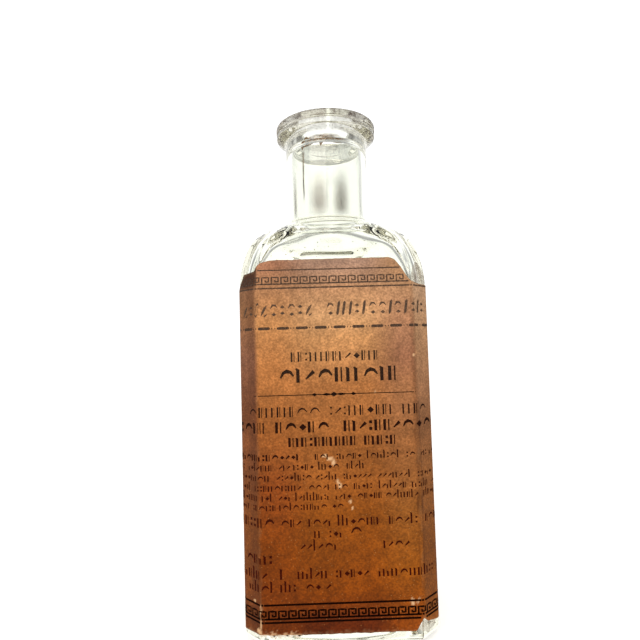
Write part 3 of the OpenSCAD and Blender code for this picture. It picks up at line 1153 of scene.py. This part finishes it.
# a thin grey-brown film round the lip: thickest at the rim, thin on the taper below, and left open in a
# narrow upright strip near the front as a painted highlight
lipBandFilm = {
    "columns": 240,
    "lift": 0.015,
    "cover": [               # height and cover
        (117.4, 0.0), (118.0, 0.15), (118.9, 0.5), (119.8, 0.45), (120.6, 0.6), (121.2, 0.9), (122.3, 1.1),
        (123, 1.0),
    ],
    "gap": (1.5, 2.2),       # degrees: the middle of the open strip that stands in for a highlight, and how wide
}


def makeLipBandFilm():
    points, fade = [], []
    columns, rows = lipBandFilm["columns"], lipProfile()[:-2]
    middle, width = lipBandFilm["gap"]
    for lift in (2 * lipBandFilm["lift"], lipBandFilm["lift"]):
        for index, (radius, z) in enumerate(rows):
            before, after = rows[max(0, index - 1)], rows[min(len(rows) - 1, index + 1)]
            outward = Vector((after[1] - before[1], before[0] - after[0])).normalized() * lift
            cover = onLine(lipBandFilm["cover"], z)
            for i in range(columns):
                angle = 2 * math.pi * i / columns
                reach = radius + outward.x
                points.append((reach * math.sin(angle), -reach * math.cos(angle), z + outward.y))
                # the film is left off here: a painted highlight
                bright = math.exp(-((math.degrees(angle) - middle) / width) ** 2)
                streak = 0.85 + 0.4 * wobble(20 * math.cos(angle), 20 * math.sin(angle), z, 5, 2.0)
                fade.append(max(0.0, cover * streak * (1 - bright)))
    size = len(rows) * columns
    faces = []
    for row in range(len(rows) - 1):
        for i in range(columns):
            j = (i + 1) % columns
            a, b = row * columns, (row + 1) * columns
            faces.append((a + i, a + j, b + j, b + i))
            faces.append((size + a + i, size + b + i, size + b + j, size + a + j))
    for i in range(columns):
        j = (i + 1) % columns
        top = (len(rows) - 1) * columns
        faces.append((i, size + i, size + j, j))
        faces.append((top + i, top + j, size + top + j, size + top + i))
    film = fadeFilm(stainFilm("GreyBrownLipFilmGappedForHighlight", "#5d4d42", "#8b8178", 0.6, 0.9, 0.35, 0.6))
    piece = newPiece("lipBandFilm", points, faces, film)
    addAttribute(piece, "fade", fade)


makeLipBandFilm()
print("residue, cork and grime added")

# Camera and stage

camera = {
    "place": (-5.1, -136.9, 63.4),   # mm
    "turn": 0.94,                    # degrees to the right of straight ahead
    "pitch": 3.39,
    "roll": -1.62,
    "lens": 29.25,
}


def makeCamera():
    data = bpy.data.cameras.new("camera")
    data.lens = camera["lens"]
    data.sensor_width = 36
    data.clip_start = 0.005
    eye = bpy.data.objects.new("camera", data)
    bpy.context.scene.collection.objects.link(eye)
    turn = Matrix.Rotation(math.radians(-camera["turn"]), 4, "Z")
    pitch = Matrix.Rotation(math.radians(90 + camera["pitch"]), 4, "X")
    roll = Matrix.Rotation(math.radians(camera["roll"]), 4, "Z")
    eye.matrix_world = Matrix.Translation(Vector(camera["place"]) * mm) @ turn @ pitch @ roll
    bpy.context.scene.camera = eye


stage = {
    "floorWidth": 40.0,      # metres
    "floor": "#f4f2ee",
    "glow": 0.66,            # light that comes up through the board
    "shade": 0.2,            # share of the glow that is left under the bottle: a painted shadow
    "shadeEdge": (18, 25),   # mm from the middle: where the shade starts to end, and where it has ended
}
room = {
    "colour": "#ffffff",
    "side": 0.42,            # radiance at the sides and overhead
    "back": 1.28,
    "front": 0.12,
    # how far a direction points away from the camera: 1 is straight behind the bottle
    "dimFrom": 0.35,
    "brightFrom": 0.72,
}


def makeStage():
    mesh = bpy.data.meshes.new("floor")
    reach = stage["floorWidth"] / 2
    mesh.from_pydata(
        [
            (-reach, -reach, 0), (reach, -reach, 0), (reach, reach, 0), (-reach, reach, 0),
        ], [], [(0, 1, 2, 3)],
    )
    floor = bpy.data.objects.new("floor", mesh)
    floor.location.z = -0.02 * mm
    bpy.context.scene.collection.objects.link(floor)
    paint = newMaterial("PaleBoardMatt")   # a matt board: takes a soft shadow and no reflection; its glow is dimmed under the bottle as a painted shadow
    place = addNode(paint, "ShaderNodeTexCoord").outputs["Object"]
    away = addNode(paint, "ShaderNodeVectorMath", {"operation": "LENGTH"}, {0: place}).outputs["Value"]
    shadeIn, shadeOut = stage["shadeEdge"]
    # painted shadow: the glow fades within the bottle's footprint
    glow = addNode(paint, "ShaderNodeMapRange", {
        "From Min": shadeIn * mm, "From Max": shadeOut * mm,
        "To Min": stage["shade"] * stage["glow"], "To Max": stage["glow"],
    }, {"Value": away})
    shader = addNode(paint, "ShaderNodeBsdfPrincipled", {
        "Base Color": stage["floor"], "Roughness": 0.9, "Emission Color": stage["floor"],
    }, {"Emission Strength": glow})
    addNode(paint, "ShaderNodeOutputMaterial", {}, {"Surface": shader.outputs["BSDF"]})
    mesh.materials.append(paint)


def softBox(name, place, aim, size, power, colour="#ffffff"):
    data = bpy.data.lights.new(name, "AREA")
    data.shape = "RECTANGLE"
    data.size, data.size_y = size
    data.energy = power
    data.color = linearColour(colour)[:3]
    lamp = bpy.data.objects.new(name, data)
    lamp.location = place
    lamp.rotation_euler = (Vector(aim) - Vector(place)).to_track_quat("-Z", "Y").to_euler()
    bpy.context.scene.collection.objects.link(lamp)


# The room: bright behind the bottle, dim at the sides and overhead, a soft glow from the camera's side.
# The dim sides are what the edges of the glass bend into view.
def makeRoom():
    world = bpy.data.worlds.new("studio")
    world.use_nodes = True
    bpy.context.scene.world = world
    world.node_tree.nodes.clear()
    toward = addNode(world, "ShaderNodeTexCoord").outputs["Generated"]
    depth = addNode(world, "ShaderNodeSeparateXYZ", {}, {0: toward}).outputs["Y"]
    back = addNode(world, "ShaderNodeMapRange", {
        "interpolation_type": "SMOOTHSTEP", "From Min": room["dimFrom"], "From Max": room["brightFrom"],
        "To Min": room["side"], "To Max": room["back"],
    }, {"Value": depth})
    front = addNode(world, "ShaderNodeMapRange", {
        "interpolation_type": "SMOOTHSTEP", "From Min": 0.0, "From Max": -0.7, "To Max": room["front"],
    }, {"Value": depth})
    glow = addNode(world, "ShaderNodeMath", {"operation": "ADD"}, {0: back, 1: front})
    sky = addNode(world, "ShaderNodeBackground", {"Color": room["colour"]}, {"Strength": glow})
    addNode(world, "ShaderNodeOutputWorld", {}, {"Surface": sky})


def makeLight():
    makeRoom()
    softBox("frontLight", (-0.35, -0.7, 0.5), (0, 0, 0.05), (0.7, 0.6), 3.2, "#fff4e6")
    scene = bpy.context.scene
    scene.view_settings.view_transform = "Standard"
    # light that runs round inside thick glass needs many mirror turns before it gets out
    scene.cycles.max_bounces = 32
    scene.cycles.glossy_bounces = 24
    scene.cycles.transmission_bounces = 24


makeCamera()
makeStage()
makeLight()
print("camera and lights set")
